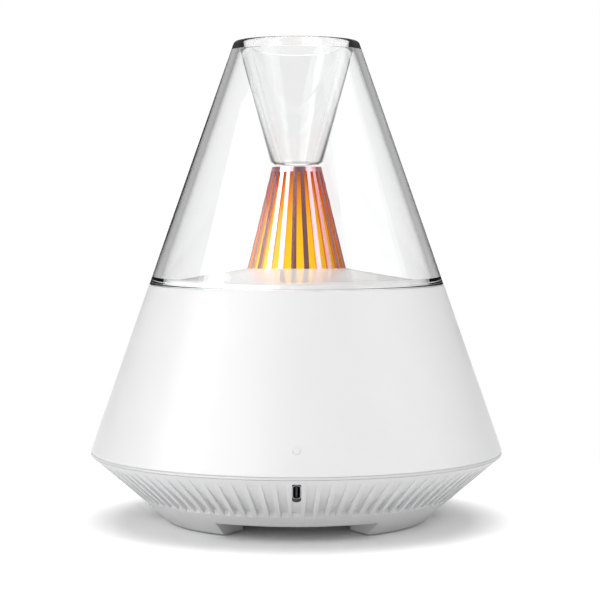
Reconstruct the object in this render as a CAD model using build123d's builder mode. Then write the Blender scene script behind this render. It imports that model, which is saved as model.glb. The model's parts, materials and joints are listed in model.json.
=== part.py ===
from build123d import *
from math import atan, cos, degrees, radians, sqrt
import os

os.makedirs("parts", exist_ok=True)

# ---------------------------------------------------------------------------
# Driving dimensions, in millimetres and degrees. The axis of the cones is Z,
# z = 0 is the surface that the feet stand on, and -Y is the front, where the
# charging port is.
# ---------------------------------------------------------------------------
HEIGHT = 185.0
WIDEST_RADIUS = 80.0        # where the lines of the two cones would meet
WIDEST_Z = 26.2
UPPER_SLOPE = 0.353         # radius lost per millimetre of height, shell and cover
FOOT_RADIUS = 49.7
LOWER_SLOPE = (WIDEST_RADIUS - FOOT_RADIUS) / WIDEST_Z

FRONT = -90                 # azimuth of the port
BACK = 90                   # azimuth of the buttons
UPPER_LEAN = degrees(atan(UPPER_SLOPE))
LOWER_LEAN = -degrees(atan(LOWER_SLOPE))

# Base
FLOOR_Z = 5.7               # underside of the floor, and top of the arches
FLOOR_THICKNESS = 2.0
FLOOR_TOP = FLOOR_Z + FLOOR_THICKNESS
BASE_WALL = 3.4             # square to the slope
BASE_WALL_X = BASE_WALL * sqrt(1 + LOWER_SLOPE**2)
LIP_Z = 25.8                # lower edge of the lip under the shell
LIP_STEP = 0.3
SEAM_Z = 26.8               # shell stands on the base here
FOOT_AZIMUTHS = (-30, 90, 210)
FOOT_ARC = 56
FOOT_BOTTOM = 0.5
TOWER_CIRCLE = 43.0         # circle of the base screws
TOWER_TOP = 24.0

# Grooves in the base
GROOVE_COUNT = 90
GROOVE_TOP_Z = 24.9
GROOVE_BOTTOM_Z = 9.8
GROOVE_DEPTH = 1.7
GROOVE_TOP_WIDTH = 3.4
GROOVE_BOTTOM_WIDTH = 2.75

# Shell
SHELL_WALL_X = 2.4          # measured level
LEDGE_Z = 86.6
LEDGE_THICKNESS = 2.2

# Tank
TANK_BOTTOM = 50.0
TANK_FLOOR = 2.0
FLANGE_Z = LEDGE_Z + LEDGE_THICKNESS
RIM_Z = 91.0                # cover and deck rest on this level
PIPE_Y = 28.0               # standpipe and top of the air duct

# Fan
FAN_SIZE = 40.0
FAN_DEPTH = 10.0
FAN_Z = 10.7
FAN_BORE_RADIUS = 19.0
FAN_HOLE_SPACING = 32.0
SHAFT_RADIUS = 1.0
SHAFT_CLEARANCE = 0.03
FAN_CORNER = 3.0
FAN_HOLE_RADIUS = 1.6
FAN_SCREW_RADIUS = 1.25
FAN_PILOT_RADIUS = 1.3
FAN_BOSS_RADIUS = 3.2

# Screws of the tower circle
TOWER_RADIUS = 4.5
TOWER_CAP = 6.0             # solid between a screw's head and the top of its tower
HEAD_WELL_RADIUS = 3.1
PASSAGE_RADIUS = 1.7

# Small screws of the boards
SMALL_SCREW_RADIUS = 0.8
SMALL_PILOT_RADIUS = 0.85
SMALL_HOLE_RADIUS = 1.1
SMALL_HEAD_RADIUS = 1.8
SMALL_HEAD_HEIGHT = 1.3

# Port
PORT_Z = 20.4
PORT_SLOT_LENGTH = 12.8
PORT_SLOT_SHIFT = -0.5       # middle of the slot, up the slope from the socket's middle
PORT_SLOT_WIDTH = 3.3
SOCKET_LENGTH = 8.94
SOCKET_WIDTH = 3.16
SOCKET_WALL = 0.3
SOCKET_RECESS = 0.6
SOCKET_DEPTH = 7.3
BEZEL_DEPTH = 0.75          # outer face of the bezel, level with the groove's floor beside it
PORT_RIB_OFFSET = 2.6       # near face of the rib, from the middle of the slot
PORT_RIB_THICKNESS = 2.6
PORT_RIB_LENGTH = 10.0      # along the slope
PORT_RIB_HEIGHT = 9.0       # square to the wall
PORT_RIB_CENTRE = (-2.0, -7.5)
PORT_SCREW_SPOTS = ((-5.0, -10.4), (1.0, -10.4))

# Buttons and indicator
BUTTON_HEIGHTS = (44.0, 58.0)
BUTTON_RADIUS = 4.0
BUTTON_STANDS_OUT = 1.2
INDICATOR_Z = 36.0
INDICATOR_RADIUS = 1.4

# Deck and lantern
DECK_RADIUS = 52.4
DECK_TOP_Z = 98.2
DECK_SLOPE = 0.166
LANTERN_RADIUS = 19.1
LANTERN_TOP_RADIUS = 9.5
LANTERN_TOP_Z = 136.6
SHADE_WALL = 1.0
SLOT_COUNT = 24
SLOT_OFFSET = 4.2
SLOT_TOP_Z = 134.7
SLOT_TOP_WIDTH = 1.2
SLOT_BOTTOM_WIDTH = 3.0
CHIMNEY_RADIUS = 6.8
CHIMNEY_BORE = 5.6
LED_COUNT = 9
LED_CIRCLE = 12.6
LAMP_SCREW_AZIMUTH = 20     # halfway between two LEDs

# Cover
COVER_WALL_X = 3.2
FUNNEL_BOTTOM_Z = 137.4
FUNNEL_BOTTOM_RADIUS = 9.7
MOUTH_RADIUS = 18.7


def upper_radius(z):
    """Outer radius of the shell and the cover at a height."""
    return WIDEST_RADIUS - UPPER_SLOPE * (z - WIDEST_Z)


def lower_radius(z):
    """Outer radius of the base at a height."""
    return FOOT_RADIUS + LOWER_SLOPE * z


def deck_height(radius):
    """Height of the deck's upper face at a radius."""
    return DECK_TOP_Z - DECK_SLOPE * (radius - LANTERN_RADIUS)


def lantern_radius(z):
    """Outer radius of the lantern shade at a height."""
    fall = (LANTERN_RADIUS - LANTERN_TOP_RADIUS) / (LANTERN_TOP_Z - DECK_TOP_Z)
    return LANTERN_RADIUS - fall * (z - DECK_TOP_Z)


def radial_plane(azimuth):
    """Upright plane through the axis: x runs outwards at the azimuth, y runs up."""
    outwards = Vector(1, 0, 0).rotate(Axis.Z, azimuth)
    return Plane(origin=(0, 0, 0), x_dir=outwards, z_dir=Vector(0, -1, 0).rotate(Axis.Z, azimuth))


def wall_plane(azimuth, radius, z, lean):
    """Plane touching a cone: x runs round it, y runs up its slope, z points out of it."""
    return Plane(
        origin=Vector(radius, 0, z).rotate(Axis.Z, azimuth),
        x_dir=Vector(0, 1, 0).rotate(Axis.Z, azimuth),
        z_dir=Vector(1, 0, 0).rotate(Axis.Y, -lean).rotate(Axis.Z, azimuth),
    )


def edge_plane(wall):
    """Plane square to a wall plane: x runs up the slope, y points out of the wall."""
    return Plane(origin=wall.origin, x_dir=wall.y_dir, z_dir=wall.x_dir)


def finish(piece, label):
    """Label a piece and write its file."""
    piece.part.label = label
    export_step(piece.part, f"parts/{label}.step")


# ---------------------------------------------------------------------------
# Base: cone with a floor, three feet between three arches, and a ring of
# grooves that deepen downwards
# ---------------------------------------------------------------------------
port_wall = wall_plane(FRONT, lower_radius(PORT_Z), PORT_Z, LOWER_LEAN)
port_edge = edge_plane(port_wall)
slot_upper_end = PORT_SLOT_SHIFT + PORT_SLOT_LENGTH / 2
slot_lower_end = PORT_SLOT_SHIFT - PORT_SLOT_LENGTH / 2
groove_z = (GROOVE_TOP_Z + GROOVE_BOTTOM_Z) / 2
groove_wall = wall_plane(FRONT, lower_radius(groove_z), groove_z, LOWER_LEAN)
groove_half = (GROOVE_TOP_Z - GROOVE_BOTTOM_Z) / 2 * sqrt(1 + LOWER_SLOPE**2)
END_SLOPE = 1.2             # run of a groove's sloping lower end
CUT_PAST = 1.0              # how far a cutter stands out of the surface

with BuildPart() as groove_cutter:
    with BuildSketch(groove_wall.offset(CUT_PAST)):
        with BuildLine():
            Polyline(
                (-GROOVE_TOP_WIDTH / 2, groove_half),
                (GROOVE_TOP_WIDTH / 2, groove_half),
                (GROOVE_BOTTOM_WIDTH / 2, -groove_half),
                (-GROOVE_BOTTOM_WIDTH / 2, -groove_half),
                close=True,
            )
        make_face()
    extrude(amount=-(GROOVE_DEPTH + 2 * CUT_PAST))
    with BuildSketch(edge_plane(groove_wall)):
        with BuildLine():
            Polyline(
                (groove_half, CUT_PAST),
                (groove_half, 0),
                (END_SLOPE - groove_half, -GROOVE_DEPTH),
                (-groove_half, 0),
                (-groove_half, CUT_PAST),
                close=True,
            )
        make_face()
    extrude(amount=GROOVE_TOP_WIDTH, both=True, mode=Mode.INTERSECT)

POCKET_BOTTOM = 2.5
POCKET_OUTER = 46.0
POCKET_FLARE = 3.0
FOOT_INNER = 38.0
FOOT_WALL = 2.0
ARCH_PAST = 2.0             # how far the arches' cutter runs past the feet
ARCH_ARC = 360 / len(FOOT_AZIMUTHS) - FOOT_ARC
TOWER_ROOT = 1.0            # how deep in the floor a tower begins
FOOT_END_WALL = 3           # degrees of solid at each end of a foot
TOWER_ARC = 16              # degrees of solid under a screw tower
HOLLOW_ARC = (FOOT_ARC - TOWER_ARC) / 2 - FOOT_END_WALL
PAD_ARC = 44
PAD_INNER = 40.5
PAD_OUTER = 47.0
PAD_TOP = 1.2
PAD_PLAY = 0.2              # millimetres at the sides of a pad, and degrees at its ends
PAD_CORNER = 2.5
BOARD_Z = 12.0
BOARD_THICKNESS = 1.6
BOARD_CENTRE_Y = -37.0
BOARD_HOLES_X = 40.0
BOARD_HOLES_Y = 18.0
BOARD_BOSS_RADIUS = 2.6
BOARD_PILOT_DEPTH = 4.0
FAN_PILOT_DEPTH = 3.8
INTAKE_CIRCLE = 13.5
INTAKE_COUNT = 18
INTAKE_LENGTH = 9.5
INTAKE_WIDTH = 1.8
PORT_TROUGH = 9.0           # length of the port's groove below its slot
TROUGH_TOP_DEPTH = 0.4
TROUGH_LOW_DEPTH = 1.2
UPSTAND_TOP = 30.0
UPSTAND_GAP = 0.4
UPSTAND_INNER = 74.0

with BuildPart() as base_housing:
    with BuildSketch(Plane.XZ):
        with BuildLine():
            Polyline(
                (0, FLOOR_Z),
                (FOOT_INNER, FLOOR_Z),
                (FOOT_INNER, FOOT_BOTTOM),
                (lower_radius(FOOT_BOTTOM), FOOT_BOTTOM),
                (lower_radius(LIP_Z), LIP_Z),
                (lower_radius(LIP_Z) - LIP_STEP, LIP_Z + LIP_STEP / 3),
                (lower_radius(LIP_Z) + LIP_STEP / 2, LIP_Z + LIP_STEP),
                (upper_radius(SEAM_Z) - LIP_STEP, SEAM_Z),
                (upper_radius(SEAM_Z) - SHELL_WALL_X - UPSTAND_GAP, SEAM_Z),
                (upper_radius(UPSTAND_TOP) - SHELL_WALL_X - UPSTAND_GAP, UPSTAND_TOP),
                (UPSTAND_INNER, UPSTAND_TOP),
                (lower_radius(LIP_Z) - BASE_WALL_X, LIP_Z),
                (lower_radius(FLOOR_TOP) - BASE_WALL_X, FLOOR_TOP),
                (0, FLOOR_TOP),
                close=True,
            )
        make_face()
    revolve(axis=Axis.Z)
    for azimuth in FOOT_AZIMUTHS:
        # the arch that follows this foot
        with BuildSketch(radial_plane(azimuth + FOOT_ARC / 2)):
            with BuildLine():
                Polyline(
                    (FOOT_INNER - ARCH_PAST, FLOOR_Z),
                    (lower_radius(FLOOR_Z) + ARCH_PAST, FLOOR_Z),
                    (lower_radius(FLOOR_Z) + ARCH_PAST, 0),
                    (FOOT_INNER - ARCH_PAST, 0),
                    close=True,
                )
            make_face()
        revolve(axis=Axis.Z, revolution_arc=ARCH_ARC, mode=Mode.SUBTRACT)
        # hollows of the foot, open to the inside, each side of its screw tower
        for start in (azimuth - FOOT_ARC / 2 + FOOT_END_WALL, azimuth + TOWER_ARC / 2):
            with BuildSketch(radial_plane(start)):
                with BuildLine():
                    Polyline(
                        (FOOT_INNER + FOOT_WALL, FLOOR_TOP + CUT_PAST),
                        (FOOT_INNER + FOOT_WALL, POCKET_BOTTOM),
                        (POCKET_OUTER, POCKET_BOTTOM),
                        (POCKET_OUTER + POCKET_FLARE, FLOOR_TOP + CUT_PAST),
                        close=True,
                    )
                make_face()
            revolve(axis=Axis.Z, revolution_arc=HOLLOW_ARC, mode=Mode.SUBTRACT)
        # recess for the rubber foot
        with BuildSketch(radial_plane(azimuth - PAD_ARC / 2)):
            with BuildLine():
                Polyline(
                    (PAD_INNER, FOOT_BOTTOM),
                    (PAD_OUTER, FOOT_BOTTOM),
                    (PAD_OUTER, PAD_TOP),
                    (PAD_INNER, PAD_TOP),
                    close=True,
                )
            make_face()
        revolve(axis=Axis.Z, revolution_arc=PAD_ARC, mode=Mode.SUBTRACT)
    # screw towers, with the heads sunk deep in them
    with BuildSketch(Plane.XY.offset(FLOOR_TOP - TOWER_ROOT)):
        with PolarLocations(TOWER_CIRCLE, 3, start_angle=FOOT_AZIMUTHS[0]):
            Circle(TOWER_RADIUS)
    extrude(amount=TOWER_TOP - FLOOR_TOP + TOWER_ROOT)
    with BuildSketch(Plane.XY.offset(PAD_TOP)):
        with PolarLocations(TOWER_CIRCLE, 3, start_angle=FOOT_AZIMUTHS[0]):
            Circle(HEAD_WELL_RADIUS)
    extrude(amount=TOWER_TOP - TOWER_CAP - PAD_TOP, mode=Mode.SUBTRACT)
    with BuildSketch(Plane.XY.offset(PAD_TOP)):
        with PolarLocations(TOWER_CIRCLE, 3, start_angle=FOOT_AZIMUTHS[0]):
            Circle(PASSAGE_RADIUS)
    extrude(amount=TOWER_TOP - PAD_TOP, mode=Mode.SUBTRACT)
    # bosses for the fan and the main board
    with BuildSketch(Plane.XY.offset(FLOOR_TOP)):
        with GridLocations(FAN_HOLE_SPACING, FAN_HOLE_SPACING, 2, 2):
            Circle(FAN_BOSS_RADIUS)
    extrude(amount=FAN_Z - FLOOR_TOP)
    with BuildSketch(Plane.XY.offset(FAN_Z)):
        with GridLocations(FAN_HOLE_SPACING, FAN_HOLE_SPACING, 2, 2):
            Circle(FAN_PILOT_RADIUS)
    extrude(amount=-FAN_PILOT_DEPTH, mode=Mode.SUBTRACT)
    with BuildSketch(Plane((0, BOARD_CENTRE_Y, FLOOR_TOP))):
        with GridLocations(BOARD_HOLES_X, BOARD_HOLES_Y, 2, 2):
            Circle(BOARD_BOSS_RADIUS)
    extrude(amount=BOARD_Z - FLOOR_TOP)
    with BuildSketch(Plane((0, BOARD_CENTRE_Y, BOARD_Z))):
        with GridLocations(BOARD_HOLES_X, BOARD_HOLES_Y, 2, 2):
            Circle(SMALL_PILOT_RADIUS)
    extrude(amount=-BOARD_PILOT_DEPTH, mode=Mode.SUBTRACT)
    # air intake under the fan
    with BuildSketch(Plane.XY.offset(FLOOR_Z)):
        with PolarLocations(INTAKE_CIRCLE, INTAKE_COUNT):
            SlotOverall(INTAKE_LENGTH, INTAKE_WIDTH)
    extrude(amount=FLOOR_THICKNESS, mode=Mode.SUBTRACT)
    # rib that holds the port board
    with BuildSketch(port_edge.offset(PORT_RIB_OFFSET)):
        with Locations(PORT_RIB_CENTRE):
            Rectangle(PORT_RIB_LENGTH, PORT_RIB_HEIGHT)
        with Locations(*PORT_SCREW_SPOTS):
            Circle(SMALL_PILOT_RADIUS, mode=Mode.SUBTRACT)
    extrude(amount=PORT_RIB_THICKNESS)
    # grooves, all but the one of the port
    with PolarLocations(0, GROOVE_COUNT - 1, start_angle=360 / GROOVE_COUNT,
                        angular_range=360 - 360 / GROOVE_COUNT):
        add(groove_cutter.part, mode=Mode.SUBTRACT)
    # the port's own groove, with straight sides, and the slot through it
    with BuildSketch(port_edge):
        with BuildLine():
            Polyline(
                (slot_upper_end, CUT_PAST),
                (slot_upper_end, -TROUGH_TOP_DEPTH),
                (slot_lower_end, -BEZEL_DEPTH),
                (END_SLOPE + slot_lower_end - PORT_TROUGH, -TROUGH_LOW_DEPTH),
                (slot_lower_end - PORT_TROUGH, 0),
                (slot_lower_end - PORT_TROUGH, CUT_PAST),
                close=True,
            )
        make_face()
    extrude(amount=PORT_SLOT_WIDTH / 2, both=True, mode=Mode.SUBTRACT)
    with BuildSketch(port_wall.offset(CUT_PAST)):
        with Locations((0, PORT_SLOT_SHIFT)):
            SlotOverall(PORT_SLOT_LENGTH, PORT_SLOT_WIDTH, rotation=90)
    extrude(amount=-(BASE_WALL + 1.5 * CUT_PAST), mode=Mode.SUBTRACT)
finish(base_housing, "base_housing")

# ---------------------------------------------------------------------------
# Rubber feet: three curved pads in the recesses, standing out by half a
# millimetre
# ---------------------------------------------------------------------------
for number, azimuth in enumerate(FOOT_AZIMUTHS, start=1):
    with BuildPart() as rubber_foot:
        with BuildSketch(radial_plane(azimuth - PAD_ARC / 2 + PAD_PLAY)):
            with BuildLine():
                Polyline(
                    (PAD_INNER + PAD_PLAY, 0),
                    (PAD_OUTER - PAD_PLAY, 0),
                    (PAD_OUTER - PAD_PLAY, PAD_TOP),
                    (PAD_INNER + PAD_PLAY, PAD_TOP),
                    close=True,
                )
            make_face()
        revolve(axis=Axis.Z, revolution_arc=PAD_ARC - 2 * PAD_PLAY)
        fillet(rubber_foot.edges().filter_by(Axis.Z), radius=PAD_CORNER)
    finish(rubber_foot, f"rubber_foot_{number}")

# ---------------------------------------------------------------------------
# Base screws: pan heads sunk in the towers, threads in the tank's pillars
# ---------------------------------------------------------------------------
HEAD_HEIGHT = 2.5
HEAD_RADIUS = 2.8
BASE_SCREW_RADIUS = 1.45
BASE_SCREW_LENGTH = 18.0
CROSS_LENGTH = 3.4
CROSS_WIDTH = 0.8
CROSS_DEPTH = 1.4

with BuildPart() as base_screws:
    with BuildSketch(Plane.XY.offset(TOWER_TOP - TOWER_CAP)):
        with PolarLocations(TOWER_CIRCLE, 3, start_angle=FOOT_AZIMUTHS[0]):
            Circle(HEAD_RADIUS)
    extrude(amount=-HEAD_HEIGHT)
    with BuildSketch(Plane.XY.offset(TOWER_TOP - TOWER_CAP)):
        with PolarLocations(TOWER_CIRCLE, 3, start_angle=FOOT_AZIMUTHS[0]):
            Circle(BASE_SCREW_RADIUS)
    extrude(amount=BASE_SCREW_LENGTH)
    with BuildSketch(Plane.XY.offset(TOWER_TOP - TOWER_CAP - HEAD_HEIGHT)):
        with PolarLocations(TOWER_CIRCLE, 3, start_angle=FOOT_AZIMUTHS[0]):
            Rectangle(CROSS_LENGTH, CROSS_WIDTH)
            Rectangle(CROSS_WIDTH, CROSS_LENGTH)
    extrude(amount=CROSS_DEPTH, mode=Mode.SUBTRACT)
finish(base_screws, "base_screws")

# ---------------------------------------------------------------------------
# Body shell: white cone with a ledge that carries the tank, two button holes
# at the back, the indicator hole at the front and posts for the button board
# ---------------------------------------------------------------------------
LEDGE_INNER = 49.5
RING_WALL = 1.95            # shell's ring outside the tank flange
SHELL_FOOT_ROUND = 0.6
SHELL_RIM_ROUND = 0.4
button_mid_z = sum(BUTTON_HEIGHTS) / 2
button_board_wall = wall_plane(BACK, upper_radius(button_mid_z), button_mid_z, UPPER_LEAN)
button_planes = [wall_plane(BACK, upper_radius(z), z, UPPER_LEAN) for z in BUTTON_HEIGHTS]
indicator_wall = wall_plane(FRONT, upper_radius(INDICATOR_Z), INDICATOR_Z, UPPER_LEAN)
BUTTON_BOARD_DEPTH = 9.5    # outer face of the button board, below the shell's outer face
POST_SPACING = 35.0
POST_RADIUS = 2.4
POST_ROOT = 1.5             # how deep in the shell's wall a post begins
POST_PILOT_DEPTH = 5.0
BUTTON_PLAY = 0.3
WINDOW_PLAY = 0.05
CONTACT_Y = 51.0            # row of contacts between the tank's flange and the deck
CONTACT_SPACING = 4.0
NOTCH_WIDTH = 15.0
NOTCH_LENGTH = 5.6

with BuildPart() as body_shell:
    with BuildSketch(Plane.XZ) as shell_section:
        with BuildLine():
            Polyline(
                (upper_radius(SEAM_Z), SEAM_Z),
                (upper_radius(RIM_Z), RIM_Z),
                (upper_radius(RIM_Z) - RING_WALL, RIM_Z),
                (upper_radius(RIM_Z) - RING_WALL, FLANGE_Z),
                (LEDGE_INNER, FLANGE_Z),
                (LEDGE_INNER, LEDGE_Z),
                (upper_radius(LEDGE_Z) - SHELL_WALL_X, LEDGE_Z),
                (upper_radius(SEAM_Z) - SHELL_WALL_X, SEAM_Z),
                close=True,
            )
        make_face()
        lower_edge = shell_section.vertices().sort_by_distance((WIDEST_RADIUS, SEAM_Z))[0]
        upper_edge = shell_section.vertices().sort_by_distance((upper_radius(RIM_Z), RIM_Z))[0]
        fillet(lower_edge, radius=SHELL_FOOT_ROUND)
        fillet(upper_edge, radius=SHELL_RIM_ROUND)
    revolve(axis=Axis.Z)
    for plane in button_planes:
        with BuildSketch(plane.offset(CUT_PAST)):
            Circle(BUTTON_RADIUS + BUTTON_PLAY)
        extrude(amount=-(SHELL_WALL_X + 2 * CUT_PAST), mode=Mode.SUBTRACT)
    with BuildSketch(indicator_wall.offset(CUT_PAST)):
        Circle(INDICATOR_RADIUS + WINDOW_PLAY)
    extrude(amount=-(SHELL_WALL_X + 2 * CUT_PAST), mode=Mode.SUBTRACT)
    with BuildSketch(button_board_wall.offset(-POST_ROOT)):
        with GridLocations(0, POST_SPACING, 1, 2):
            Circle(POST_RADIUS)
    extrude(amount=POST_ROOT - BUTTON_BOARD_DEPTH)
    with BuildSketch(button_board_wall.offset(-BUTTON_BOARD_DEPTH)):
        with GridLocations(0, POST_SPACING, 1, 2):
            Circle(SMALL_PILOT_RADIUS)
    extrude(amount=POST_PILOT_DEPTH, mode=Mode.SUBTRACT)
    # notch in the ledge for the contact block
    with BuildSketch(Plane((0, CONTACT_Y, LEDGE_Z))):
        Rectangle(NOTCH_WIDTH, NOTCH_LENGTH)
    extrude(amount=LEDGE_THICKNESS, mode=Mode.SUBTRACT)
finish(body_shell, "body_shell")

# ---------------------------------------------------------------------------
# Water tank: conical wall with a flange, welded to the rim of the floor
# ---------------------------------------------------------------------------
CUP_BOTTOM_RADIUS = 40.0
CUP_TOP_RADIUS = 45.8
CUP_WALL = 2.0
SEAT_RADIUS = 17.0
SEAT_TOP = TANK_BOTTOM + 4.0
SEAT_FLARE = 2.0
TRANSDUCER_HOLE = 8.0
CLAMP_SCREW_CIRCLE = 14.0
CLAMP_PILOT_RADIUS = 1.05
CLAMP_PILOT_DEPTH = 3.0
FLANGE_PLAY = 0.2
PILLAR_RADIUS = 4.0
PILLAR_PILOT_RADIUS = 1.5
PILLAR_PILOT_DEPTH = 16.0
PIN_HOLE_RADIUS = 0.9
PIPE_RADIUS = 7.0
PIPE_BORE = 5.5
PIPE_TOP = 82.0
PIPE_FLANGE_RADIUS = 8.4
PIPE_FLANGE_HEIGHT = 1.5

with BuildPart() as water_tank:
    with BuildSketch(Plane.XZ):
        with BuildLine():
            Polyline(
                (CUP_BOTTOM_RADIUS, TANK_BOTTOM + TANK_FLOOR),
                (CUP_BOTTOM_RADIUS + CUP_WALL, TANK_BOTTOM + TANK_FLOOR),
                (CUP_TOP_RADIUS + CUP_WALL, FLANGE_Z),
                (upper_radius(RIM_Z) - RING_WALL - FLANGE_PLAY, FLANGE_Z),
                (upper_radius(RIM_Z) - RING_WALL - FLANGE_PLAY, RIM_Z),
                (CUP_TOP_RADIUS, RIM_Z),
                close=True,
            )
        make_face()
    revolve(axis=Axis.Z)
    with BuildSketch(Plane((0, CONTACT_Y, FLANGE_Z))):
        with GridLocations(CONTACT_SPACING, 0, 3, 1):
            Circle(PIN_HOLE_RADIUS)
    extrude(amount=RIM_Z - FLANGE_Z, mode=Mode.SUBTRACT)
finish(water_tank, "water_tank")

# ---------------------------------------------------------------------------
# Tank floor: disc under the wall, with a raised seat over the transducer and a
# hole for the air standpipe
# ---------------------------------------------------------------------------
with BuildPart() as tank_floor:
    with BuildSketch(Plane.XZ):
        with BuildLine():
            Polyline(
                (0, TANK_BOTTOM),
                (CUP_BOTTOM_RADIUS + CUP_WALL, TANK_BOTTOM),
                (CUP_BOTTOM_RADIUS + CUP_WALL, TANK_BOTTOM + TANK_FLOOR),
                (SEAT_RADIUS + SEAT_FLARE, TANK_BOTTOM + TANK_FLOOR),
                (SEAT_RADIUS, SEAT_TOP),
                (0, SEAT_TOP),
                close=True,
            )
        make_face()
    revolve(axis=Axis.Z)
    with BuildSketch(Plane((0, PIPE_Y, TANK_BOTTOM))):
        Circle(PIPE_RADIUS)
    extrude(amount=TANK_FLOOR, mode=Mode.SUBTRACT)
    with BuildSketch(Plane.XY.offset(TANK_BOTTOM)):
        with PolarLocations(CLAMP_SCREW_CIRCLE, 3):
            Circle(CLAMP_PILOT_RADIUS)
    extrude(amount=CLAMP_PILOT_DEPTH, mode=Mode.SUBTRACT)
    with BuildSketch(Plane.XY.offset(TANK_BOTTOM)):
        Circle(TRANSDUCER_HOLE)
    extrude(amount=SEAT_TOP - TANK_BOTTOM, mode=Mode.SUBTRACT)
finish(tank_floor, "tank_floor")

# ---------------------------------------------------------------------------
# Tank pillars: posts under the tank's rim, which take the base screws
# ---------------------------------------------------------------------------
for number, azimuth in enumerate(FOOT_AZIMUTHS, start=1):
    with BuildPart() as tank_pillar:
        with BuildSketch(Plane.XY.offset(TOWER_TOP)):
            with PolarLocations(TOWER_CIRCLE, 1, start_angle=azimuth):
                Circle(PILLAR_RADIUS)
        extrude(amount=TANK_BOTTOM - TOWER_TOP)
        with BuildSketch(Plane.XY.offset(TOWER_TOP)):
            with PolarLocations(TOWER_CIRCLE, 1, start_angle=azimuth):
                Circle(PILLAR_PILOT_RADIUS)
        extrude(amount=PILLAR_PILOT_DEPTH, mode=Mode.SUBTRACT)
    finish(tank_pillar, f"tank_pillar_{number}")

# ---------------------------------------------------------------------------
# Air standpipe: tube that stands in the tank's floor and ends above the water
# ---------------------------------------------------------------------------
with BuildPart() as air_standpipe:
    with BuildSketch(Plane((0, PIPE_Y, TANK_BOTTOM))):
        Circle(PIPE_RADIUS)
    extrude(amount=PIPE_TOP - TANK_BOTTOM)
    with BuildSketch(Plane((0, PIPE_Y, TANK_BOTTOM + TANK_FLOOR))):
        Circle(PIPE_FLANGE_RADIUS)
    extrude(amount=PIPE_FLANGE_HEIGHT)
    with BuildSketch(Plane((0, PIPE_Y, TANK_BOTTOM))):
        Circle(PIPE_BORE)
    extrude(amount=PIPE_TOP - TANK_BOTTOM, mode=Mode.SUBTRACT)
finish(air_standpipe, "air_standpipe")

# ---------------------------------------------------------------------------
# Ultrasonic transducer under the tank: silicone ring, disc, clamp and screws
# ---------------------------------------------------------------------------
SEAL_HEIGHT = 1.2
DISC_HEIGHT = 1.2
DISC_RADIUS = 10.0
SEAL_RADIUS = 11.0
CLAMP_HEIGHT = 4.6
CLAMP_RADIUS = 16.5
CLAMP_HOLE_RADIUS = 1.2
CLAMP_SCREW_RADIUS = 1.0
CLAMP_SCREW_GRIP = 2.8
CLAMP_HEAD_RADIUS = 1.9
CLAMP_HEAD_HEIGHT = 1.5
SEAL_INSET = 0.5
SEAL_PLAY = 0.1
ELECTRODE_RADIUS = 6.0
ELECTRODE_HEIGHT = 0.4
disc_top = TANK_BOTTOM - SEAL_HEIGHT
disc_bottom = disc_top - DISC_HEIGHT
clamp_bottom = TANK_BOTTOM - CLAMP_HEIGHT

with BuildPart() as transducer_seal:
    with BuildSketch(Plane.XY.offset(disc_top)):
        Circle(SEAL_RADIUS)
        Circle(TRANSDUCER_HOLE - SEAL_INSET, mode=Mode.SUBTRACT)
    extrude(amount=SEAL_HEIGHT)
finish(transducer_seal, "transducer_seal")

with BuildPart() as transducer_disc:
    with BuildSketch(Plane.XY.offset(disc_bottom)):
        Circle(DISC_RADIUS)
    extrude(amount=DISC_HEIGHT)
    with BuildSketch(Plane.XY.offset(disc_bottom)):
        Circle(ELECTRODE_RADIUS)
    extrude(amount=-ELECTRODE_HEIGHT)
finish(transducer_disc, "transducer_disc")

with BuildPart() as transducer_clamp:
    with BuildSketch(Plane.XY.offset(clamp_bottom)):
        Circle(CLAMP_RADIUS)
        Circle(TRANSDUCER_HOLE - SEAL_INSET, mode=Mode.SUBTRACT)
    extrude(amount=CLAMP_HEIGHT)
    with BuildSketch(Plane.XY.offset(disc_bottom)):
        Circle(SEAL_RADIUS + SEAL_PLAY)
    extrude(amount=TANK_BOTTOM - disc_bottom, mode=Mode.SUBTRACT)
    with BuildSketch(Plane.XY.offset(clamp_bottom)):
        with PolarLocations(CLAMP_SCREW_CIRCLE, 3):
            Circle(CLAMP_HOLE_RADIUS)
    extrude(amount=CLAMP_HEIGHT, mode=Mode.SUBTRACT)
finish(transducer_clamp, "transducer_clamp")

with BuildPart() as clamp_screws:
    with BuildSketch(Plane.XY.offset(clamp_bottom)):
        with PolarLocations(CLAMP_SCREW_CIRCLE, 3):
            Circle(CLAMP_SCREW_RADIUS)
    extrude(amount=CLAMP_HEIGHT + CLAMP_SCREW_GRIP)
    with BuildSketch(Plane.XY.offset(clamp_bottom)):
        with PolarLocations(CLAMP_SCREW_CIRCLE, 3):
            Circle(CLAMP_HEAD_RADIUS)
    extrude(amount=-CLAMP_HEAD_HEIGHT)
finish(clamp_screws, "clamp_screws")

# ---------------------------------------------------------------------------
# Axial fan: frame, bush, coil, rotor, shaft and screws
# ---------------------------------------------------------------------------
HUB_RADIUS = 8.9
BEARING_RADIUS = 3.4
BUSH_RADIUS = 2.2
HUB_PLATE = 1.3
SPOKE_LENGTH = 12.0
SPOKE_WIDTH = 2.2
BEARING_HEIGHT = 6.0
BUSH_RECESS = 0.8
BUSH_HEIGHT = 5.2
COIL_CIRCLE = 4.9
COIL_LENGTH = 4.6
COIL_WIDTH = 2.6
COIL_CORNER = 0.8
COIL_CORE_WALL = 0.9
COIL_HEIGHT = 4.0
ROTOR_Z = FAN_Z + 1.9
ROTOR_HEIGHT = 7.2
ROTOR_PLAY = 0.7
ROTOR_WALL = 1.0
DUCT_PLATE = 1.5
BLADE_COUNT = 7
BLADE_PITCH = 38            # degrees
BLADE_CHORD = 8.2
BLADE_THICKNESS = 1.0
BLADE_CORNER = 0.45
BLADE_ROOT = 0.8            # how deep in the hub a blade begins
SHAFT_GAP = 0.2             # under the shaft's lower end
FAN_SCREW_GRIP = 3.0
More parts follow.
